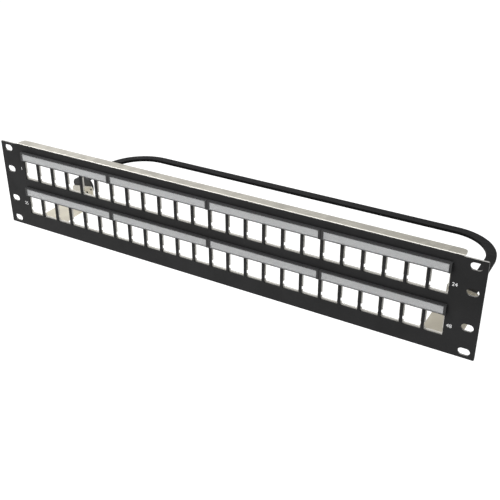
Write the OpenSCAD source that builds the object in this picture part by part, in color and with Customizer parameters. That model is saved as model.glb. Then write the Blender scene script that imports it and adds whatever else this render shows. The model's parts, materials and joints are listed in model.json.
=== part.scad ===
// 19-inch, two-unit patch panel with 48 empty jack windows, flip-up label covers
// and a rear cable bar. Millimetres. X runs along the panel, +Y to the rear, +Z up.
// The origin is the centre of the rack slots, on the face that seats on the rack rails.

/* [Front plate] */
// Overall width, the 19-inch rack standard
panel_w = 482.6; // [482:0.1:483]
// Overall height, two rack units less the usual gap
panel_h = 88.1; // [87.6:0.1:88.9]
// Sheet thickness of the front plate
plate_t = 1.5; // [1.2:0.1:2]
// Radius of the plate's corners
plate_corner_r = 1; // [0.5:0.1:3]

/* [Rack slots] */
// Distance between the two columns of slots
slot_span = 465.1; // [464:0.1:466]
// Height between the outer pair of slots
outer_slot_gap = 76.2; // [75:0.05:77]
// Height between the inner pair of slots
inner_slot_gap = 31.75; // [30:0.05:34]
// End-to-end length of a slot
slot_l = 9.8; // [9:0.1:12]
// Width of a slot across its straight sides
slot_w = 6.3; // [6.2:0.1:7.2]

/* [Jack windows] */
// Windows in one labelled group
group_ports = 6; // [4:1:6]
// Groups in one row
row_groups = 4; // [2:1:4]
// Centre distance of neighbouring windows
port_pitch = 17.95; // [17:0.05:18]
// Width of a window in the front plate
port_w = 15.5; // [15:0.1:15.8]
// Height of a window in the front plate
port_h = 20; // [19:0.1:20]
// Width of the jack seat, the smaller window in the chassis behind
seat_w = 13.8; // [13:0.1:14.4]
// Height of the jack seat
seat_h = 17.8; // [17:0.1:18.4]
// Centre distance of the two rows
row_gap = 37.4; // [37:0.1:38]
// Height of the point midway between the rows
row_mid_z = -0.45; // [-0.8:0.05:0]
// Depth of the latch notch in each side of a jack seat
notch_d = 1.35; // [0.5:0.05:1.4]
// Height of the latch notch
notch_h = 3.4; // [2:0.1:4]

/* [Chassis] */
// Sheet thickness of the folded chassis
sheet_t = 1.2; // [1:0.1:1.5]
// Width of the chassis
chassis_w = 445; // [440:1:448]
// Height of the chassis
chassis_h = 87.7; // [86:0.1:88]
// Outer radius of each fold
bend_r = 2; // [1.6:0.1:3]
// Depth of the top flange
top_flange_d = 10.8; // [8:0.1:16]
// Depth of the bottom flange between the arms
bottom_flange_d = 17.5; // [14:0.5:24]
// Width of each rear arm
arm_w = 31.5; // [26:0.5:36]
// Distance from the rails to the rear face of the upstands
arm_reach = 71.7; // [60:0.1:90]
// Fillet between an arm and the bottom flange
arm_fillet_r = 13; // [6:1:20]
// Width of the upstand at the end of each arm
upstand_w = 28; // [24:0.5:31]
// Height of the upstand above the chassis base, at its inner corner
upstand_h = 19.3; // [16:0.1:20]
// Height of the upstand above the chassis base, at its outer corner
upstand_outer_h = 15.9; // [15:0.1:20]

/* [Cable bar] */
// Width of the flat bar
bar_w = 9.5; // [8:0.1:10]
// Thickness of the flat bar
bar_t = 3; // [2:0.1:4]
// Overall width of the bar across its two legs
bar_span = 441; // [436:0.1:442]
// Distance from the rails to the bar's rear edge
bar_reach = 173.8; // [130:0.1:200]
// Outer radius of the bar's two bends
bar_bend_r = 48; // [30:1:60]
// Height of the bar's top face above the chassis base
bar_top_h = 20.2; // [19.5:0.1:21]

/* [Bar clips] */
// Radius of the clip's round flange, which seats on the upstand
clip_r = 11.2; // [9:0.1:12]
// Thickness of the flange
clip_flange_t = 3.4; // [2.6:0.1:4]
// Depth of the whole clip behind the upstand
clip_d = 8; // [6:0.5:10]
// Flange centre, measured sideways from the panel's middle
clip_x = 207.2; // [206:0.1:212]
// Flange centre above the chassis base
clip_h = 16.8; // [16:0.1:18]

/* [Label holders] */
// Height of a label frame
label_h = 9; // [8:0.1:9.4]
// Distance from a window's centre up to the label frame's centre
label_rise = 14.6; // [14.4:0.1:15]
// How far the frame stands proud of the front plate
label_proud = 2.7; // [2.4:0.1:3.2]
// Width of the solid end of a frame, which holds the cover's pivot
ear_w = 2; // [1.8:0.1:3]
// Radius of the cover's pivot pins
pivot_r = 0.45; // [0.4:0.05:0.5]

/* [Part shown] */
// Node to draw, or all of them

/* [Hidden] */
$fn = 48;
GROUP_COUNT = 2 * row_groups;

// cut is how far a cutting shape overruns the face that it cuts
cut = 0.5;
row_ports = group_ports * row_groups;
group_w = group_ports * port_pitch;
base_z = -chassis_h / 2;
flange_top_z = chassis_h / 2;
flange_corner_r = 4;
arm_tip_l = 10;
// Height of a latch notch's centre, measured from a window's centre
notch_rise = -5.3;

// Label holder, seen from the end. y runs forward from the plate, so it is negative.
plate_front_y = -plate_t;
frame_base_t = 1.2;
frame_gap = 0.4;
frame_l = group_w - frame_gap;
lip_h = 0.7;
lip_proud = 2.2;
top_rail_h = 1;
cover_play = 0.15;
cover_lip_gap = 0.15;
cover_sheet_t = 0.5;
cover_l = frame_l - 2 * ear_w - 2 * cover_play;
pivot_play = 0.05;
pivot_len = 1.2;
pivot_y = plate_front_y - 2.1;
pivot_rise = label_rise + label_h / 2 - top_rail_h - pivot_r - 0.1;
cover_low = label_rise - label_h / 2 + lip_h + cover_lip_gap;
cover_front_y = pivot_y - pivot_r;
cover_rear_y = plate_front_y - 1.5;
cover_lip_t = 0.25;
cover_edge_h = 0.3;
cover_lip_h = 0.9;
card_margin = 0.3;
card_play = 0.05;
peg_x = 36;
peg_r = 1.5;
peg_slot_w = 0.6;
peg_head_r = 1.9;
peg_head_l = 1.3;
peg_play = 0.1;

// Studs pressed into the plate, which carry the chassis
stud_r = 1.5;
stud_head_r = 2.5;
stud_head_t = 0.8;
stud_l = 7;
stud_play = 0.2;
stud_zs = [38.2, 3.2, -36];
washer_r = 3.5;
washer_t = 0.5;
nut_af = 5.5;
nut_t = 2.4;
nut_play = 0.05;

// Earth stud behind the top of the panel
earth_x = -group_w;
earth_z = 36.9;
earth_r = 2.5;
earth_l = 15;
earth_tip_l = 0.6;
earth_neck_r = 2;
earth_neck_l = 1;
earth_washer_r = 5;
earth_washer_t = 1;
earth_nut_af = 8;
earth_nut_t = 4;

// Upstand, clip and clip screw
upstand_corner_r = 3;
arm_corner_r = 2;
spare_holes = [[202.5, 11.5, 1.3], [196.6, 16.1, 1.1]];
screw_x = 209.2;
screw_h = 11;
screw_r = 1.45;
screw_play = 0.15;
screw_l = 3;
screw_head_r = 2.8;
screw_head_t = 2;
screw_head_edge_r = 1.2;
recess_l = 3;
recess_w = 0.8;
recess_d = 1.2;
clip_edge_r = 1;
clip_hub_r = 5.6;
bar_pocket_wall = 1.8;
bar_play = 0.05;
bar_front_y = arm_reach + bar_pocket_wall;
bar_z = base_z + bar_top_h - bar_t;

// Height of the centre of one row of windows; row 0 is the upper one
function row_z(row) = row_mid_z + (row == 0 ? row_gap / 2 : -row_gap / 2);
// Sideways place of one window in its row
function port_x(i) = (i - (row_ports - 1) / 2) * port_pitch;
// Sideways place and row of one label group, counted from 1 along the upper row first
function group_x(i) = ((i - 1) % row_groups - (row_groups - 1) / 2) * group_w;
function group_row(i) = i > row_groups ? 1 : 0;

// Turns a flat XZ outline into a sheet that fills y from y0 to y1
module sheet(y0, y1) {
    translate([0, y1, 0]) rotate([90, 0, 0]) linear_extrude(y1 - y0) children();
}

// Sweeps a YZ outline along X, centred on x = 0
module along_x(length) {
    translate([-length / 2, 0, 0]) rotate([90, 0, 90]) linear_extrude(length) children();
}

// A round bar along +Y
module rod_y(r, y0, y1) {
    translate([0, y0, 0]) rotate([-90, 0, 0]) cylinder(r = r, h = y1 - y0);
}

// A hexagon along +Y, measured across its flats
module hex_y(across_flats, y0, y1) {
    translate([0, y0, 0]) rotate([-90, 0, 0])
        cylinder(r = across_flats / sqrt(3), h = y1 - y0, $fn = 6);
}

// A disc along +Z from z = 0, with its far edge rounded
module round_disc(r, h, edge_r) {
    rotate_extrude() {
        square([r - edge_r, h]);
        square([r, h - edge_r]);
        translate([r - edge_r, h - edge_r]) intersection() {
            circle(edge_r);
            square(edge_r);
        }
    }
}

// Rectangle with round corners, centred
module round_rect(w, h, r) {
    square([w - 2 * r, h], center = true);
    square([w, h - 2 * r], center = true);
    for (sx = [-1, 1], sy = [-1, 1])
        translate([sx * (w / 2 - r), sy * (h / 2 - r)]) circle(r);
}

// One rack slot with round ends
module slot_outline() {
    square([slot_l - slot_w, slot_w], center = true);
    for (s = [-1, 1]) translate([s * (slot_l - slot_w) / 2, 0]) circle(slot_w / 2);
}

// Centres of all 48 windows
module at_ports() {
    for (row = [0, 1], i = [0:row_ports - 1]) translate([port_x(i), row_z(row)]) children();
}

// Jack seat: a window with a latch notch low in each side
module seat_outline() {
    square([seat_w, seat_h], center = true);
    translate([0, notch_rise]) square([seat_w + 2 * notch_d, notch_h], center = true);
}

// Places of the label frames' pegs
module at_pegs() {
    for (i = [1:GROUP_COUNT], s = [-1, 1])
        translate([group_x(i) + s * peg_x, row_z(group_row(i)) + label_rise]) children();
}

// Places of the plate studs, in the flat XZ outline
module at_studs() {
    for (i = [1:row_groups], z = stud_zs) translate([group_x(i), z]) children();
}

// The same places in space
module at_studs_3d() {
    for (i = [1:row_groups], z = stud_zs) translate([group_x(i), 0, z]) children();
}

module front_plate() {
    color([0.17, 0.17, 0.17]) difference() {
        sheet(plate_front_y, 0) difference() {
            round_rect(panel_w, panel_h, plate_corner_r);
            at_ports() square([port_w, port_h], center = true);
            for (sx = [-1, 1], gap = [outer_slot_gap, inner_slot_gap], sz = [-1, 1])
                translate([sx * slot_span / 2, sz * gap / 2]) slot_outline();
            at_pegs() circle(peg_r + peg_play);
        }
        // Blind pockets for the heads of the studs
        at_studs_3d() rod_y(stud_head_r, -stud_head_t, cut);
        translate([earth_x, 0, earth_z]) rod_y(earth_r + stud_play, -stud_head_t, cut);
    }
}

// Fold between the web and a flange, seen from the end; the web is at y = 0
module fold() {
    translate([bend_r, -bend_r]) intersection() {
        difference() {
            circle(bend_r);
            circle(bend_r - sheet_t);
        }
        translate([-bend_r, 0]) square(bend_r);
    }
}

// Bottom flange and arms, seen from above
module base_outline() {
    inner_x = chassis_w / 2 - arm_w;
    arm_end = arm_reach - bend_r;
    translate([-chassis_w / 2, bend_r]) square([chassis_w, bottom_flange_d - bend_r]);
    for (s = [-1, 1]) {
        arm_mid = s * (chassis_w - arm_w) / 2;
        translate([arm_mid, arm_end / 2]) round_rect(arm_w, arm_end - 2 * bend_r, arm_corner_r);
        translate([s * (chassis_w - upstand_w) / 2, arm_end - arm_tip_l / 2])
            square([upstand_w, arm_tip_l], center = true);
        // Fillet in the corner of arm and flange
        translate([s * (inner_x - arm_fillet_r / 2), bottom_flange_d + arm_fillet_r / 2])
            difference() {
                square(arm_fillet_r, center = true);
                translate([-s * arm_fillet_r / 2, arm_fillet_r / 2]) circle(arm_fillet_r);
            }
    }
}

// Top flange, seen from above, with round rear corners
module top_outline() {
    corner_y = top_flange_d - flange_corner_r;
    translate([-chassis_w / 2, bend_r]) square([chassis_w, corner_y - bend_r]);
    translate([0, corner_y]) square([chassis_w - 2 * flange_corner_r, 2 * flange_corner_r], center = true);
    for (s = [-1, 1]) translate([s * (chassis_w / 2 - flange_corner_r), corner_y]) circle(flange_corner_r);
}

// Upstand face: two round corners under a top edge that rises inward, its fixing hole and two spare holes
module upstand_outline(s) {
    low = base_z + bend_r;
    side = [upstand_corner_r, 0];
    outer = [chassis_w / 2, base_z + upstand_outer_h - upstand_corner_r] - side;
    inner = [chassis_w / 2 - upstand_w, base_z + upstand_h - upstand_corner_r] + side;
    rise = atan2(inner[1] - outer[1], outer[0] - inner[0]);
    lift = upstand_corner_r * [sin(rise), cos(rise)];
    mirror([s < 0 ? 1 : 0, 0]) difference() {
        union() {
            for (corner = [outer, inner]) translate(corner) circle(upstand_corner_r);
            polygon([outer, outer + lift, inner + lift, inner]);
            polygon([[outer[0] + side[0], low], outer + side, inner - side, [inner[0] - side[0], low]]);
        }
        for (hole = spare_holes) translate([hole[0], base_z + hole[1]]) circle(hole[2]);
        translate([screw_x, base_z + screw_h]) circle(screw_r + screw_play);
    }
}

module rear_chassis() {
    color([0.76, 0.74, 0.68]) {
        // Web behind the front plate
        sheet(0, sheet_t) difference() {
            square([chassis_w, chassis_h - 2 * bend_r], center = true);
            at_ports() seat_outline();
            at_pegs() circle(peg_r + peg_play);
            at_studs() circle(stud_r + stud_play);
            translate([earth_x, earth_z]) circle(earth_r);
        }
        translate([0, 0, flange_top_z]) along_x(chassis_w) fold();
        translate([0, 0, base_z]) along_x(chassis_w) mirror([0, 1]) fold();
        translate([0, 0, flange_top_z - sheet_t]) linear_extrude(sheet_t) top_outline();
        translate([0, 0, base_z]) linear_extrude(sheet_t) base_outline();
        for (s = [-1, 1]) {
            sheet(arm_reach - sheet_t, arm_reach) upstand_outline(s);
            translate([s * (chassis_w - upstand_w) / 2, arm_reach, base_z])
                along_x(upstand_w) rotate(180) fold();
        }
    }
}

module plate_studs() {
    color([0.62, 0.62, 0.6]) at_studs_3d() {
        rod_y(stud_head_r, -stud_head_t, 0);
        rod_y(stud_r, 0, stud_l);
    }
}

module stud_washers() {
    color([0.7, 0.7, 0.68]) at_studs_3d() difference() {
        rod_y(washer_r, sheet_t, sheet_t + washer_t);
        rod_y(stud_r + nut_play, 0, stud_l);
    }
}

module stud_nuts() {
    nut_y = sheet_t + washer_t;
    color([0.7, 0.7, 0.68]) at_studs_3d() difference() {
        hex_y(nut_af, nut_y, nut_y + nut_t);
        rod_y(stud_r + nut_play, 0, stud_l);
    }
}

module at_earth() {
    translate([earth_x, 0, earth_z]) children();
}

// Stud with a nut clamped at its root; a narrow neck parts that length from the free end
module earth_stud() {
    neck_y = sheet_t + earth_washer_t + earth_nut_t;
    free_y = neck_y + earth_neck_l;
    tip_y = earth_l - earth_tip_l;
    color([0.62, 0.62, 0.6]) at_earth() {
        rod_y(earth_r, 0, neck_y);
        rod_y(earth_neck_r, neck_y, free_y);
        rod_y(earth_r, free_y, tip_y);
        translate([0, tip_y, 0]) rotate([-90, 0, 0])
            cylinder(r1 = earth_r, r2 = earth_r - earth_tip_l, h = earth_tip_l);
    }
}

module earth_washer() {
    color([0.7, 0.7, 0.68]) at_earth() difference() {
        rod_y(earth_washer_r, sheet_t, sheet_t + earth_washer_t);
        rod_y(earth_r + nut_play, 0, earth_l);
    }
}

module earth_nut() {
    nut_y = sheet_t + earth_washer_t;
    color([0.7, 0.7, 0.68]) at_earth() difference() {
        hex_y(earth_nut_af, nut_y, nut_y + earth_nut_t);
        rod_y(earth_r + nut_play, 0, earth_l);
    }
}

// Area inside a bent bar's edge, seen from above; the front edge is straight
module bar_plan(half_w, front_y, rear_y, r) {
    translate([-half_w, front_y]) square([2 * half_w, rear_y - r - front_y]);
    translate([r - half_w, front_y]) square([2 * (half_w - r), rear_y - front_y]);
    for (s = [-1, 1]) translate([s * (half_w - r), rear_y - r]) circle(r, $fn = 96);
}

module cable_bar() {
    half_w = bar_span / 2;
    color([0.2, 0.2, 0.2]) translate([0, 0, bar_z]) linear_extrude(bar_t) difference() {
        bar_plan(half_w, bar_front_y, bar_reach, bar_bend_r);
        bar_plan(half_w - bar_w, bar_front_y - cut, bar_reach - bar_w, bar_bend_r - bar_w);
    }
}

// Moulded clip behind an upstand: a round flange, and a hub with a pocket for the end of the bar
module bar_clip(s) {
    leg_x = (bar_span - bar_w) / 2;
    leg_z = bar_z + bar_t / 2;
    color([0.1, 0.1, 0.1]) difference() {
        union() {
            translate([s * clip_x, arm_reach, base_z + clip_h]) rotate([-90, 0, 0])
                round_disc(clip_r, clip_flange_t, clip_edge_r);
            translate([s * leg_x, arm_reach, leg_z]) rotate([-90, 0, 0])
                round_disc(clip_hub_r, clip_d, clip_edge_r);
        }
        translate([s * leg_x, bar_front_y + clip_d / 2, leg_z])
            cube([bar_w + 2 * bar_play, clip_d, bar_t + 2 * bar_play], center = true);
        translate([s * screw_x, 0, base_z + screw_h]) rod_y(screw_r, arm_reach - cut, arm_reach + screw_l);
    }
}

// Pan-head screw that holds a clip, with a cross recess
module bar_screw(s) {
    seat_y = arm_reach - sheet_t;
    color([0.7, 0.7, 0.68]) translate([s * screw_x, 0, base_z + screw_h]) difference() {
        union() {
            translate([0, seat_y, 0]) rotate([90, 0, 0])
                round_disc(screw_head_r, screw_head_t, screw_head_edge_r);
            rod_y(screw_r, seat_y, arm_reach + screw_l);
        }
        translate([0, seat_y - screw_head_t, 0]) {
            cube([recess_l, 2 * recess_d, recess_w], center = true);
            cube([recess_w, 2 * recess_d, recess_l], center = true);
        }
    }
}

module at_group(i) {
    translate([group_x(i), 0, row_z(group_row(i))]) children();
}

// Split peg that snaps through the plate and the chassis
module snap_peg() {
    head_y = sheet_t + peg_play;
    difference() {
        union() {
            rod_y(peg_r, plate_front_y, head_y);
            rod_y(peg_head_r, head_y, head_y + peg_head_l / 2);
            rod_y(peg_r, head_y + peg_head_l / 2, head_y + peg_head_l);
        }
        translate([-peg_slot_w / 2, 0, -2 * peg_r]) cube([peg_slot_w, 2 * stud_l, 4 * peg_r]);
    }
}

// Black frame of one label: a back rail, a top rail, a bottom lip and two solid ends
module label_frame(i) {
    low = label_rise - label_h / 2;
    high = label_rise + label_h / 2;
    rail_front = plate_front_y - label_proud;
    base_front = plate_front_y - frame_base_t;
    color([0.12, 0.12, 0.12]) at_group(i) {
        difference() {
            union() {
                along_x(frame_l) {
                    translate([base_front, low]) square([frame_base_t, label_h]);
                    translate([rail_front, high - top_rail_h]) square([label_proud, top_rail_h]);
                    translate([plate_front_y - lip_proud, low]) square([lip_proud, lip_h]);
                }
                for (s = [-1, 1])
                    translate([s * (frame_l - ear_w) / 2, (rail_front + plate_front_y) / 2, label_rise])
                        cube([ear_w, label_proud, label_h], center = true);
            }
            translate([0, pivot_y, pivot_rise]) along_x(cover_l + 2 * (cover_play + pivot_len + cut / 2))
                circle(pivot_r + pivot_play);
        }
        for (s = [-1, 1]) translate([s * peg_x, 0, label_rise]) snap_peg();
    }
}

// Clear flip-up cover: a sheet that hangs from a round top edge, with grooves for the card
module label_cover(i) {
    groove_y = cover_rear_y - cover_lip_t;
    color([0.85, 0.88, 0.9, 0.35]) at_group(i) {
        along_x(cover_l) {
            translate([cover_front_y, cover_low]) square([cover_sheet_t, pivot_rise - cover_low]);
            translate([pivot_y, pivot_rise]) circle(pivot_r);
            translate([cover_front_y, cover_low]) square([cover_rear_y - cover_front_y, cover_edge_h]);
            translate([groove_y, cover_low]) square([cover_lip_t, cover_lip_h]);
            translate([cover_front_y, pivot_rise - cover_edge_h])
                square([cover_rear_y - cover_front_y, cover_edge_h]);
            translate([groove_y, pivot_rise - cover_lip_h]) square([cover_lip_t, cover_lip_h]);
        }
        translate([0, pivot_y, pivot_rise]) along_x(cover_l + 2 * pivot_len) circle(pivot_r);
    }
}

// Printed card held in the grooves of the cover
module label_card(i) {
    card_low = cover_low + cover_edge_h;
    card_high = pivot_rise - pivot_r - card_play;
    card_front = cover_front_y + cover_sheet_t;
    color([0.72, 0.72, 0.73]) at_group(i) along_x(cover_l - 2 * card_margin)
        translate([card_front, card_low])
            square([cover_rear_y - cover_lip_t - card_front, card_high - card_low]);
}

front_plate();
rear_chassis();
plate_studs();
stud_washers();
stud_nuts();
earth_stud();
earth_washer();
earth_nut();
cable_bar();
bar_clip(-1);  // bar_clip_left
bar_clip(1);  // bar_clip_right
bar_screw(-1);  // bar_screw_left
bar_screw(1);  // bar_screw_right
for (i = [1:GROUP_COUNT]) {
    label_frame(i);
    label_card(i);
    label_cover(i);
}
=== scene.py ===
import json
import math

import bmesh
import bpy
from mathutils import Matrix, Vector


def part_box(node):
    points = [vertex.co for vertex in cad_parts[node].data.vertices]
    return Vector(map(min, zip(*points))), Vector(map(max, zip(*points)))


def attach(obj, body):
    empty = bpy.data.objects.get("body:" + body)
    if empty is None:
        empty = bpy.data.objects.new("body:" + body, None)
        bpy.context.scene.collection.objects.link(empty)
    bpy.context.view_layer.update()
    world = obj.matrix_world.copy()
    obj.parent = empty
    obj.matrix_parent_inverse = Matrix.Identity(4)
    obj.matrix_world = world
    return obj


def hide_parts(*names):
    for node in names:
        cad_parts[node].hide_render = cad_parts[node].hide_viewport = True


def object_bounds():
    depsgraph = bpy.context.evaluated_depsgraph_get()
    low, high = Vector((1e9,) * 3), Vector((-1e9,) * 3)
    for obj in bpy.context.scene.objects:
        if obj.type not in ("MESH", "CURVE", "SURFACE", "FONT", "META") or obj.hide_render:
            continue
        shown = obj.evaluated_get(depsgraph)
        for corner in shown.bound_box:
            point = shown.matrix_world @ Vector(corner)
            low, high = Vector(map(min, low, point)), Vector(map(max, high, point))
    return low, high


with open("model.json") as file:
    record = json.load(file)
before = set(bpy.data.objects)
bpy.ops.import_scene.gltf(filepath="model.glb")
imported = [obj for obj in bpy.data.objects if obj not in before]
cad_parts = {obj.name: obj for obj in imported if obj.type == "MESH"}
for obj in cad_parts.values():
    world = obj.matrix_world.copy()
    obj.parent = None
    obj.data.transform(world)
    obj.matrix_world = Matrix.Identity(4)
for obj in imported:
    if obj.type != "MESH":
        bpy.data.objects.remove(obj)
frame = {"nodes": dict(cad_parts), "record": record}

CAD_LOW, CAD_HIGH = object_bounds()
MM = 0.001
ROOT = "root"

# Camera: which way and how far off it stands, where it looks, and its field of view
CAMERA_AZIMUTH = 30.0
CAMERA_ELEVATION = 29.06
CAMERA_DISTANCE = 0.694
CAMERA_TARGET = Vector((0.0412, -0.0015, -0.00089))
CAMERA_LENS = 58.3
SENSOR_WIDTH = 36.0

# Places where the colour of a sheet changes, for its tones and its painted light
FLANGE_END = 0.2225     # X: the chassis flange covers the plate's top edge up to here
PLATE_END = 0.2405      # X: only the plate's two end edges lie farther out
PLATE_TOP = 0.0435      # Z: only the plate's top edge lies higher
FILM_TOP = -0.034       # Z: the warm tone on the chassis, painted lighter on the left, starts here ...
FILM_FULL = -0.042      # Z: ... and is full from here down
WEB_REAR = 0.0015       # Y: the web of the chassis lies in front of this

# How far a face's normal points along an axis, out of 1
UPWARD = 0.9            # from here it is an upper face
ACROSS = 0.5            # below this it is a cut edge of a sheet, and not one of its two faces


# ---------------------------------------------------------------- materials

class Shader:
    """One procedural material, and the node recipes that materials share."""

    def __init__(self, name, **sockets):
        self.material = bpy.data.materials.new(name)
        self.material.use_nodes = True
        self.nodes = self.material.node_tree.nodes
        self.surface = self.nodes["Principled BSDF"]
        for label, value in sockets.items():
            self.surface.inputs[label.replace("_", " ")].default_value = value
        self.where = self.add("ShaderNodeTexCoord").outputs["Object"]

    def add(self, kind):
        return self.nodes.new(kind)

    def link(self, source, target):
        self.material.node_tree.links.new(source, target)

    def stretched(self, size, stretch):
        """Object coordinates in units of size metres, drawn out along stretch."""
        mapping = self.add("ShaderNodeMapping")
        mapping.inputs["Scale"].default_value = [1 / (size * s) for s in stretch]
        self.link(self.where, mapping.inputs["Vector"])
        return mapping.outputs["Vector"]

    def noise(self, size, detail=3.0, roughness=0.55, stretch=(1, 1, 1)):
        """Noise whose features are about size metres across, drawn out along stretch."""
        texture = self.add("ShaderNodeTexNoise")
        texture.inputs["Scale"].default_value = 1.0
        texture.inputs["Detail"].default_value = detail
        texture.inputs["Roughness"].default_value = roughness
        self.link(self.stretched(size, stretch), texture.inputs["Vector"])
        return texture.outputs["Fac"]

    def cells(self, size, stretch=(1, 1, 1)):
        """Random grey cells about size metres across, as in zinc spangle."""
        texture = self.add("ShaderNodeTexVoronoi")
        texture.inputs["Scale"].default_value = 1.0
        self.link(self.stretched(size, stretch), texture.inputs["Vector"])
        grey = self.add("ShaderNodeSeparateColor")
        self.link(texture.outputs["Color"], grey.inputs["Color"])
        return grey.outputs["Red"]

    def scaled(self, value, low, high, new_low=0.0, new_high=1.0):
        """Maps value from low..high to new_low..new_high, and holds it within them."""
        node = self.add("ShaderNodeMapRange")
        self.link(value, node.inputs["Value"])
        ends = {"From Min": low, "From Max": high, "To Min": new_low, "To Max": new_high}
        for label, number in ends.items():
            node.inputs[label].default_value = number
        return node.outputs["Result"]

    def mixed(self, factor, first, second):
        """Colour that goes from first to second; each is a colour or another node's output."""
        node = self.add("ShaderNodeMix")
        node.data_type = "RGBA"
        self.link(factor, node.inputs["Factor"])
        for label, colour in (("A", first), ("B", second)):
            socket = [s for s in node.inputs if s.name == label and s.type == "RGBA"][0]
            if isinstance(colour, tuple):
                socket.default_value = (*colour, 1.0)
            else:
                self.link(colour, socket)
        return [s for s in node.outputs if s.type == "RGBA"][0]

    def maths(self, operation, first, second=0.0):
        """Result of a maths node; each value is a number or another node's output."""
        node = self.add("ShaderNodeMath")
        node.operation = operation
        for socket, value in zip(node.inputs, (first, second)):
            if isinstance(value, (int, float)):
                socket.default_value = value
            else:
                self.link(value, socket)
        return node.outputs[0]

    def colour(self, output):
        self.link(output, self.surface.inputs["Base Color"])

    def roughness(self, output):
        self.link(output, self.surface.inputs["Roughness"])

    def metallic(self, output):
        self.link(output, self.surface.inputs["Metallic"])

    def bump(self, *layers):
        """Stacks bumps; each layer is (height output, depth in metres)."""
        normal = None
        for height, depth in layers:
            node = self.add("ShaderNodeBump")
            node.inputs["Strength"].default_value = 1.0
            node.inputs["Distance"].default_value = depth
            self.link(height, node.inputs["Height"])
            if normal is not None:
                self.link(normal, node.inputs["Normal"])
            normal = node.outputs["Normal"]
        self.link(normal, self.surface.inputs["Normal"])

    def facing(self, axis):
        """How far the surface faces along an axis of the panel, from -1 to 1."""
        geometry = self.add("ShaderNodeNewGeometry")
        parts = self.add("ShaderNodeSeparateXYZ")
        self.link(geometry.outputs["True Normal"], parts.inputs[0])
        return parts.outputs[axis]

    def along(self, axis):
        """Place along an axis of the panel, in metres."""
        parts = self.add("ShaderNodeSeparateXYZ")
        self.link(self.where, parts.inputs[0])
        return parts.outputs[axis]

    def upper_faces(self, start=0.6):
        """1 on faces that point up, 0 on those whose normal points up by less than start."""
        return self.scaled(self.facing("Z"), start, UPWARD)

    def cut_edges(self):
        """1 on the cut edges of a sheet that lies across Y, 0 on its two faces."""
        return self.maths("LESS_THAN", self.maths("ABSOLUTE", self.facing("Y")), ACROSS)

    def beyond(self, half_width):
        """1 farther than half_width to either side of the panel's middle."""
        return self.maths("GREATER_THAN", self.maths("ABSOLUTE", self.along("X")), half_width)


def plate_coat():
    """Matt black coat with orange peel, and painted light on some cut edges of the plate.

    The edges in the windows fade from black to grey towards the back, and their upper faces are
    painted lighter still, as painted light from above; the lower edge of the rack slots is painted
    light grey the same way. The top edge beside the chassis flange and the two end edges are
    painted light grey as painted highlights.
    """
    s = Shader("plate_coat", IOR=1.5, Specular_IOR_Level=0.09)
    blotch = s.noise(0.045, detail=4)
    speck = s.noise(0.0012, detail=2)
    black = s.mixed(s.scaled(blotch, 0.35, 0.65), (0.0127, 0.0127, 0.0129), (0.0168, 0.0168, 0.0171))
    black = s.mixed(s.scaled(speck, 0.62, 0.8, 0, 0.5), black, (0.027, 0.027, 0.0275))
    # Painted light: up-facing cut edges are painted this light grey, as light falling from above.
    lit_upper_edge = (0.17, 0.167, 0.159)
    upward = s.upper_faces(start=0.4)
    ends = s.beyond(FLANGE_END)
    depth = s.scaled(s.along("Y"), -0.0010, -0.0002)
    # Window edges fade from black to grey towards the back; their upper faces are painted lighter, as
    # painted light from above.
    in_window = s.mixed(depth, black, s.mixed(upward, (0.12, 0.118, 0.112), lit_upper_edge))
    # Painted light: the up-facing lower edge of each rack slot is painted light grey, the other slot edges
    # black.
    in_slot = s.mixed(upward, black, lit_upper_edge)
    # Painted highlight: the plate's top edge beyond the chassis flange is painted light grey.
    top_edge_highlight = s.mixed(ends, black, (0.26, 0.255, 0.245))
    at_top = s.maths("GREATER_THAN", s.along("Z"), PLATE_TOP)
    # Cut-edge colour: the grey window edges, and the painted light and painted highlights on the slot, top
    # and end edges.
    thin = s.mixed(at_top, s.mixed(ends, in_window, in_slot), top_edge_highlight)
    # Painted highlight: the plate's two end edges are painted grey.
    thin = s.mixed(s.beyond(PLATE_END), thin, (0.13, 0.128, 0.125))
    s.colour(s.mixed(s.cut_edges(), black, thin))
    s.roughness(s.scaled(s.noise(0.008, detail=5), 0.3, 0.7, 0.42, 0.56))
    s.bump((s.noise(0.0016, detail=2), 0.00004), (s.noise(0.0004, detail=1), 0.000012))
    return s.material


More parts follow.
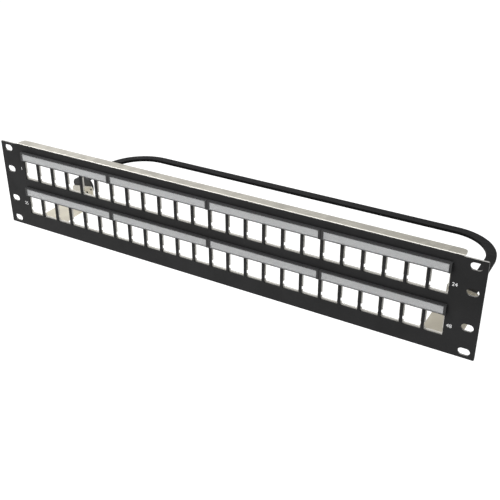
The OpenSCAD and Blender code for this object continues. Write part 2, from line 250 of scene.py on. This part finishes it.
def galvanised_sheet():
    """Zinc-coated steel: faint spangle, a rolling grain, duller patches, a warm tone low down.

    It is painted darker towards the right and on faces that point to the front, as painted shade;
    the warm tone is painted lighter on the left, as painted light; and the front of its web is painted
    lighter and less metallic, as a painted reflection.
    """
    s = Shader("galvanised_sheet", IOR=1.5)
    spangle = s.cells(0.006, stretch=(1.0, 1.6, 1.0))
    grain = s.noise(0.0009, detail=4, stretch=(1, 60, 60))
    cloud = s.noise(0.03, detail=3)
    # Painted shade: this darker grey is painted towards the right and on faces that point to the front.
    shaded_grey = (0.36, 0.345, 0.30)
    base = s.mixed(s.scaled(spangle, 0, 1, 0.25, 0.75), (0.50, 0.48, 0.43), (0.60, 0.58, 0.525))
    base = s.mixed(s.scaled(grain, 0.3, 0.7, 0, 0.45), base, (0.41, 0.39, 0.34))
    base = s.mixed(s.scaled(cloud, 0.5, 0.8, 0, 0.5), base, (0.55, 0.54, 0.50))
    # Painted shade: darker towards the right, and on faces that point to the front, as light falls from the
    # left and above.
    base = s.mixed(s.scaled(s.along("X"), -0.15, 0.22, 0, 0.8), base, shaded_grey)
    base = s.mixed(s.scaled(s.facing("Y"), -0.9, -0.6, 0.6, 0), base, shaded_grey)
    # A warm tone low down, painted lighter on the left and darker on the right, as painted light from the
    # left.
    warm_tone_lit_left = s.mixed(s.scaled(s.along("X"), -0.2, 0.2), (0.80, 0.75, 0.62), (0.52, 0.48, 0.39))
    base = s.mixed(s.scaled(s.along("Z"), FILM_FULL, FILM_TOP, 0.7, 0), base, warm_tone_lit_left)
    # Painted reflection: the front of the web is painted lighter and made less metallic, in place of its
    # bright reflection.
    in_front = s.maths("LESS_THAN", s.along("Y"), WEB_REAR)
    not_rear_face = s.maths("LESS_THAN", s.facing("Y"), ACROSS)
    web = s.maths("MULTIPLY", in_front, not_rear_face)
    s.colour(s.mixed(s.scaled(web, 0, 1, 0, 0.85), base, (0.56, 0.545, 0.51)))
    s.metallic(s.scaled(web, 0, 1, 0.82, 0.15))
    s.roughness(s.maths("ADD", s.scaled(spangle, 0, 1, 0.34, 0.44), s.scaled(grain, 0.3, 0.7, -0.03, 0.05)))
    s.bump((grain, 0.000010), (s.noise(0.004, detail=2), 0.00002))
    return s.material


def bar_coat():
    """Satin black coat of the bent bar, with its upper face painted lighter as painted light from above."""
    s = Shader("bar_coat", IOR=1.5, Specular_IOR_Level=0.03)
    rub = s.scaled(s.noise(0.004, detail=4, stretch=(12, 1, 1)), 0.45, 0.75)
    base = s.mixed(rub, (0.003, 0.003, 0.003), (0.006, 0.006, 0.006))
    # Painted light: upper faces are painted lighter than the dark sides, as light falls from above.
    lit_top = s.mixed(rub, (0.011, 0.011, 0.0114), (0.017, 0.017, 0.0174))
    s.colour(s.mixed(s.upper_faces(), base, lit_top))
    s.roughness(s.scaled(s.noise(0.006, detail=4), 0.3, 0.7, 0.40, 0.54))
    s.bump((s.noise(0.0014, detail=2), 0.00003), (s.noise(0.0004, detail=1), 0.00001))
    return s.material


def black_plastic(name, dark, light, rough_low, rough_high):
    """Moulded black plastic with a spark-eroded texture, flow marks, and upper faces painted lighter as
    painted light from above.
    """
    s = Shader(name, IOR=1.49, Specular_IOR_Level=0.4)
    flow = s.noise(0.012, detail=3, stretch=(4, 1, 1))
    base = s.mixed(s.scaled(flow, 0.35, 0.65), dark, light)
    # Painted light: upper faces are painted lighter, as light falls from above.
    s.colour(s.mixed(s.upper_faces(), base, (0.030, 0.030, 0.031)))
    s.roughness(s.scaled(s.noise(0.003, detail=3), 0.3, 0.7, rough_low, rough_high))
    s.bump((s.noise(0.00035, detail=2), 0.000012))
    return s.material


def zinc_plate():
    """Bright zinc-plated steel, cool in some places and warm in others."""
    s = Shader("zinc_plate", Metallic=1.0)
    tint = s.noise(0.0025, detail=2)
    s.colour(s.mixed(s.scaled(tint, 0.3, 0.7), (0.52, 0.55, 0.58), (0.66, 0.62, 0.52)))
    s.roughness(s.scaled(s.noise(0.0012, detail=4), 0.3, 0.7, 0.22, 0.38))
    s.bump((s.noise(0.0005, detail=3), 0.000008))
    return s.material


def dull_brass():
    """Turned brass with light tarnish."""
    s = Shader("dull_brass", Metallic=1.0)
    tarnish = s.noise(0.002, detail=4)
    s.colour(s.mixed(s.scaled(tarnish, 0.4, 0.7), (0.62, 0.47, 0.20), (0.40, 0.29, 0.13)))
    s.roughness(s.scaled(s.noise(0.001, detail=3), 0.3, 0.7, 0.28, 0.45))
    s.bump((s.noise(0.0004, detail=3), 0.000008))
    return s.material


def clear_plastic():
    """Thin clear cover: mostly see-through, with a gloss that fine scratches break up."""
    s = Shader("clear_plastic", Alpha=0.16, IOR=1.49)
    scratch = s.noise(0.0008, detail=3, stretch=(25, 1, 1))
    s.colour(s.mixed(scratch, (0.86, 0.88, 0.90), (0.95, 0.96, 0.97)))
    s.roughness(s.scaled(scratch, 0.35, 0.7, 0.10, 0.26))
    s.bump((s.noise(0.006, detail=1), 0.00002))
    return s.material


def grey_card():
    """Matt light grey card with paper fibre."""
    s = Shader("grey_card", IOR=1.45)
    fibre = s.noise(0.0006, detail=5, stretch=(3, 1, 1))
    cloud = s.noise(0.02, detail=2)
    base = s.mixed(s.scaled(fibre, 0.3, 0.7), (0.425, 0.425, 0.423), (0.477, 0.477, 0.474))
    s.colour(s.mixed(s.scaled(cloud, 0.4, 0.7, 0, 0.4), base, (0.455, 0.455, 0.453)))
    s.roughness(s.scaled(fibre, 0.3, 0.7, 0.72, 0.86))
    s.bump((fibre, 0.00001))
    return s.material


def white_ink():
    """Screen-printed white ink, slightly thin in places."""
    s = Shader("white_ink", IOR=1.48)
    thin = s.noise(0.0005, detail=3)
    s.colour(s.mixed(s.scaled(thin, 0.4, 0.7), (0.78, 0.78, 0.78), (0.6, 0.6, 0.6)))
    s.roughness(s.scaled(thin, 0.3, 0.7, 0.45, 0.6))
    s.bump((thin, 0.000008))
    return s.material


MATERIALS = {
    "plate_black": plate_coat(),
    "galvanised": galvanised_sheet(),
    "bar_black": bar_coat(),
    "clip_black": black_plastic("clip_plastic", (0.004, 0.004, 0.004), (0.007, 0.007, 0.007), 0.34, 0.5),
    "label_black": black_plastic("label_plastic", (0.006, 0.006, 0.0062), (0.010, 0.010, 0.0104), 0.26, 0.4),
    "zinc_steel": zinc_plate(),
    "brass_nut": dull_brass(),
    "label_clear": clear_plastic(),
    "label_card": grey_card(),
}
INK = white_ink()


# ---------------------------------------------------------------- CAD pieces

# How far the sharp edges of a CAD node are rounded; a name without its number stands for all eight
BEVELS = {
    "front_plate": 0.12 * MM,
    "rear_chassis": 0.14 * MM,
    "cable_bar": 0.25 * MM,
    "bar_clip_left": 0.25 * MM,
    "bar_clip_right": 0.25 * MM,
    "bar_screw_left": 0.12 * MM,
    "bar_screw_right": 0.12 * MM,
    "stud_washers": 0.08 * MM,
    "earth_washer": 0.12 * MM,
    "label_frame": 0.18 * MM,
    "label_cover": 0.07 * MM,
}
ROUNDED_FROM = 35.0     # degrees between two faces, from which their edge is rounded


def dress(node, slot, bevel):
    """Gives a CAD node its material, and rounds its sharp edges by bevel metres."""
    piece = frame["nodes"][node]
    piece.data.materials.clear()
    piece.data.materials.append(MATERIALS[slot])
    if not bevel:
        return
    weld = piece.modifiers.new("weld", "WELD")
    weld.merge_threshold = 0.002 * MM
    rounding = piece.modifiers.new("round_edges", "BEVEL")
    rounding.width = bevel
    rounding.segments = 2
    rounding.limit_method = "ANGLE"
    rounding.angle_limit = math.radians(ROUNDED_FROM)
    rounding.use_clamp_overlap = True
    rounding.miter_outer = "MITER_ARC"
    normals = piece.modifiers.new("flat_faces", "WEIGHTED_NORMAL")
    normals.keep_sharp = False


for part in frame["record"]["subparts"]:
    node = part["node"]
    family = node.rsplit("_", 1)[0]
    dress(node, part["material_slot"], BEVELS.get(node, BEVELS.get(family, 0.0)))


# ---------------------------------------------------------------- mesh helpers

def solid_boxes(node):
    """Lowest and highest corner of every separate solid in a CAD node."""
    mesh = bmesh.new()
    mesh.from_mesh(frame["nodes"][node].data)
    bmesh.ops.remove_doubles(mesh, verts=mesh.verts, dist=0.001 * MM)
    left = set(mesh.verts)
    boxes = []
    while left:
        group = [left.pop()]
        for vert in group:
            for edge in vert.link_edges:
                other = edge.other_vert(vert)
                if other in left:
                    left.remove(other)
                    group.append(other)
        spots = [v.co for v in group]
        boxes.append((Vector([min(c[k] for c in spots) for k in range(3)]),
                      Vector([max(c[k] for c in spots) for k in range(3)])))
    mesh.free()
    return sorted(boxes, key=lambda b: (round(b[0].x, 4), round(b[0].z, 4)))


def finish_piece(name, mesh, slot, replaced=(), smooth_angle=35.0, material=None):
    """Makes an object of a bmesh, gives it its material and body, and hides the CAD nodes it replaces."""
    bmesh.ops.recalc_face_normals(mesh, faces=mesh.faces)
    data = bpy.data.meshes.new(name)
    mesh.to_mesh(data)
    mesh.free()
    for face in data.polygons:
        face.use_smooth = True
    data.set_sharp_from_angle(angle=math.radians(smooth_angle))
    data.materials.append(material or MATERIALS[slot])
    piece = bpy.data.objects.new(name, data)
    bpy.context.scene.collection.objects.link(piece)
    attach(piece, ROOT)
    if replaced:
        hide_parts(*replaced)
    return piece


def new_ring(mesh, centre, y, radii):
    """New vertices round an axis along Y through centre, evenly spaced, one for each radius."""
    ring = []
    for k, radius in enumerate(radii):
        angle = 2 * math.pi * k / len(radii)
        spot = Vector((radius * math.cos(angle), y, radius * math.sin(angle)))
        ring.append(mesh.verts.new(centre + spot))
    return ring


def bridge(mesh, rings):
    """Joins each ring to the next; a ring of one vertex is the tip of a cone."""
    for one, two in zip(rings, rings[1:]):
        for k in range(max(len(one), len(two))):
            corners = [one[k % len(one)], one[(k + 1) % len(one)],
                       two[(k + 1) % len(two)], two[k % len(two)]]
            corners = list(dict.fromkeys(corners))
            if len(corners) > 2:
                mesh.faces.new(corners)


def lathe(mesh, profile, centre, steps=32):
    """Turns (radius, y) points about an axis along Y that passes through centre."""
    bridge(mesh, [new_ring(mesh, centre, y, [radius] * (steps if radius else 1))
                  for radius, y in profile])


def threaded_rod(mesh, centre, radius, start, end, pitch, steps=20):
    """A stud with a true helical thread from start to end along Y, and a chamfered tip."""
    depth = 0.54 * pitch
    tip_length = 1.2 * pitch
    rings_per_turn = 6
    count = int(round((end - start) / pitch * rings_per_turn))
    rings = []
    for r in range(count + 1):
        y = start + (end - start) * r / count
        narrowed = 0.78 + 0.22 * min(1.0, (end - y) / tip_length)
        radii = []
        for k in range(steps):
            angle = 2 * math.pi * k / steps
            phase = ((y - start) / pitch - angle / (2 * math.pi)) % 1.0
            groove = 1 - abs(2 * phase - 1)
            radii.append((radius - depth * groove) * narrowed)
        rings.append(new_ring(mesh, centre, y, radii))
    bridge(mesh, rings)
    mesh.faces.new(rings[0])
    mesh.faces.new(rings[-1])


def hex_nut(mesh, centre, across_flats, bore, depth):
    """A hexagon nut along Y with chamfered corners and a countersunk bore."""
    steps = 48
    corner = across_flats / math.sqrt(3)
    chamfer = (corner - across_flats / 2) * 0.55
    face_radius = across_flats / 2 * 0.97
    mouth, sink = bore * 1.1, bore * 0.1

    def flat_radius(k):
        """Distance from the axis to the hexagon's side at step k."""
        angle = 2 * math.pi * k / steps
        turn = (angle + math.pi / 6) % (math.pi / 3) - math.pi / 6
        return across_flats / 2 / math.cos(turn)

    def hexagon(limit, y):
        return new_ring(mesh, centre, y, [min(flat_radius(k), limit) for k in range(steps)])

    def circle(radius, y):
        return new_ring(mesh, centre, y, [radius] * steps)

    rings = [
        circle(mouth, 0.0),
        hexagon(face_radius, 0.0),
        hexagon(corner, chamfer),
        hexagon(corner, depth - chamfer),
        hexagon(face_radius, depth),
        circle(mouth, depth),
        circle(bore, depth - sink),
        circle(bore, sink),
    ]
    bridge(mesh, rings + rings[:1])


# ---------------------------------------------------------------- fasteners

STUD_RADIUS = 1.5 * MM
STUD_PITCH = 0.5 * MM
STUD_HEAD = 0.8 * MM
STUD_NUT_BORE = 1.52 * MM
EARTH_PITCH = 0.8 * MM
EARTH_NUT_BORE = 2.54 * MM
EARTH_NECK = 6.2 * MM, 7.2 * MM     # from and to along Y, as in the CAD stud
EARTH_NECK_RADIUS = 2.0 * MM
NECK_LAP = 0.1 * MM                 # how far the neck reaches into the threads


def middle(low, high):
    return (low + high) / 2


def make_studs():
    """Plate studs: a flat pressed head in the plate and a threaded shank."""
    mesh = bmesh.new()
    for low, high in solid_boxes("plate_studs"):
        centre = middle(low, high)
        axis = Vector((centre.x, 0, centre.z))
        radius = (high.x - low.x) / 2
        head = [(0, -STUD_HEAD), (radius, -STUD_HEAD), (radius, 0), (STUD_RADIUS, 0), (0, 0)]
        lathe(mesh, head, axis)
        threaded_rod(mesh, axis, STUD_RADIUS, 0.0, high.y, STUD_PITCH)
    finish_piece("plate_studs_threaded", mesh, "zinc_steel", ["plate_studs"])


def make_nuts(node, name, slot, bore):
    """One piece that stands for all the nuts of a CAD node."""
    mesh = bmesh.new()
    for low, high in solid_boxes(node):
        centre = middle(low, high)
        hex_nut(mesh, Vector((centre.x, low.y, centre.z)), high.z - low.z, bore, high.y - low.y)
    finish_piece(name, mesh, slot, [node], smooth_angle=25.0)


def make_earth_stud():
    """Earth stud: a thread under its washer and nut, a plain neck, and a thread for a lug's nut."""
    mesh = bmesh.new()
    low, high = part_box("earth_stud")
    centre = middle(low, high)
    axis = Vector((centre.x, 0, centre.z))
    radius = (high.x - low.x) / 2
    neck_low, neck_high = EARTH_NECK
    threaded_rod(mesh, axis, radius, low.y, neck_low, EARTH_PITCH, steps=28)
    lathe(mesh, [(0, neck_low - NECK_LAP), (EARTH_NECK_RADIUS, neck_low - NECK_LAP),
                 (EARTH_NECK_RADIUS, neck_high + NECK_LAP), (0, neck_high + NECK_LAP)], axis)
    threaded_rod(mesh, axis, radius, neck_high, high.y, EARTH_PITCH, steps=28)
    finish_piece("earth_stud_threaded", mesh, "zinc_steel", ["earth_stud"])


make_studs()
make_nuts("stud_nuts", "stud_nuts_chamfered", "zinc_steel", STUD_NUT_BORE)
make_earth_stud()
make_nuts("earth_nut", "earth_nut_chamfered", "brass_nut", EARTH_NUT_BORE)


# ---------------------------------------------------------------- printing

# Port number, the label frame at the right end of its row, and which end it stands at
PORT_NUMBERS = (
    ("1", "label_frame_4", -1),
    ("24", "label_frame_4", 1),
    ("25", "label_frame_8", -1),
    ("48", "label_frame_8", 1),
)
NUMBER_HEIGHT = 3.1 * MM
FIGURE_HEIGHT = 0.69        # height of a figure, as a share of the font's size
NUMBER_GAP = 3.3 * MM       # from the end of the row of label frames out to a number's middle
NUMBER_DROP = 9.7 * MM      # from the foot of the label frames down to a number's middle
INK_THICKNESS = 0.02 * MM
INK_MIDDLE = 0.008 * MM     # how far the middle of the ink stands before the plate


def make_port_numbers():
    """White port numbers printed at the ends of both rows, a hair proud of the plate."""
    plate_low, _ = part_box("front_plate")
    for text, frame_node, side in PORT_NUMBERS:
        low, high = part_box(frame_node)
        curve = bpy.data.curves.new("port_number_" + text, "FONT")
        curve.body = text
        curve.align_x = "CENTER"
        curve.align_y = "CENTER"
        curve.size = NUMBER_HEIGHT / FIGURE_HEIGHT
        curve.extrude = INK_THICKNESS / 2
        curve.resolution_u = 4
        letter = bpy.data.objects.new("port_number_curve", curve)
        bpy.context.scene.collection.objects.link(letter)
        spot = Vector((side * (high.x + NUMBER_GAP), plate_low.y - INK_MIDDLE, low.z - NUMBER_DROP))
        letter.matrix_world = Matrix.Translation(spot) @ Matrix.Rotation(math.radians(90), 4, "X")
        bpy.context.view_layer.update()
        mesh = bmesh.new()
        mesh.from_mesh(letter.evaluated_get(bpy.context.evaluated_depsgraph_get()).to_mesh())
        mesh.transform(letter.matrix_world)
        bpy.data.objects.remove(letter)
        bmesh.ops.remove_doubles(mesh, verts=mesh.verts, dist=0.0005 * MM)
        finish_piece("port_number_" + text, mesh, "plate_black", material=INK)


make_port_numbers()


# ---------------------------------------------------------------- stage

FLOOR_REACH = 60.0      # so far that no view shows its edge
FLOOR_DROP = 0.25       # from the panel's foot down to the floor
FLOOR_GLOW = 0.86
WORLD_STRENGTH = 0.5

# Area lights: name, where it stands, where it points, width and height, and power in watts
LIGHTS = (
    ("top_softbox", (-0.25, 0.15, 1.3), (0, 0.03, 0), (1.4, 1.0), 14.0),
    ("front_softbox", (-0.9, -1.2, 0.9), (0, 0, 0), (1.0, 1.0), 6.5),
    ("fold_strip", (-0.66, -0.42, 1.28), (0, 0, 0.04), (1.6, 0.12), 26.0),
)


def make_floor():
    """A wide pale floor below the panel, which hangs in the air as it does in a rack."""
    mesh = bmesh.new()
    bmesh.ops.create_grid(mesh, x_segments=4, y_segments=4, size=FLOOR_REACH)
    data = bpy.data.meshes.new("floor")
    mesh.to_mesh(data)
    mesh.free()
    floor = bpy.data.objects.new("floor", data)
    floor.location = (0, 0, CAD_LOW.z - FLOOR_DROP)
    shader = Shader("floor_white", Roughness=0.9, Base_Color=(0.25, 0.25, 0.25, 1),
                    Emission_Color=(1, 1, 1, 1), Emission_Strength=FLOOR_GLOW)
    data.materials.append(shader.material)
    bpy.context.scene.collection.objects.link(floor)


def aimed(name, data, spot, direction):
    """Adds a light or a camera at spot, which looks along direction."""
    thing = bpy.data.objects.new(name, data)
    thing.location = spot
    thing.rotation_mode = "QUATERNION"
    thing.rotation_quaternion = direction.to_track_quat("-Z", "Y")
    bpy.context.scene.collection.objects.link(thing)
    return thing


def make_lights():
    """A soft white surrounding, and the area lights."""
    world = bpy.data.worlds.new("studio")
    world.use_nodes = True
    background = world.node_tree.nodes["Background"]
    background.inputs["Color"].default_value = (1, 1, 1, 1)
    background.inputs["Strength"].default_value = WORLD_STRENGTH
    bpy.context.scene.world = world
    for name, spot, target, size, power in LIGHTS:
        lamp = bpy.data.lights.new(name, "AREA")
        lamp.shape = "RECTANGLE"
        lamp.size, lamp.size_y = size
        lamp.energy = power
        aimed(name, lamp, spot, Vector(target) - Vector(spot))


def make_camera():
    """The photograph's camera, on a sphere round the point that it looks at."""
    azimuth, elevation = math.radians(CAMERA_AZIMUTH), math.radians(CAMERA_ELEVATION)
    back = Vector((math.sin(azimuth) * math.cos(elevation),
                   -math.cos(azimuth) * math.cos(elevation),
                   math.sin(elevation)))
    data = bpy.data.cameras.new("camera")
    data.lens = CAMERA_LENS
    data.sensor_width = SENSOR_WIDTH
    data.clip_start = 0.01
    bpy.context.scene.camera = aimed("camera", data, CAMERA_TARGET + back * CAMERA_DISTANCE, -back)


make_floor()
make_lights()
make_camera()
bpy.context.scene.view_settings.view_transform = "Standard"
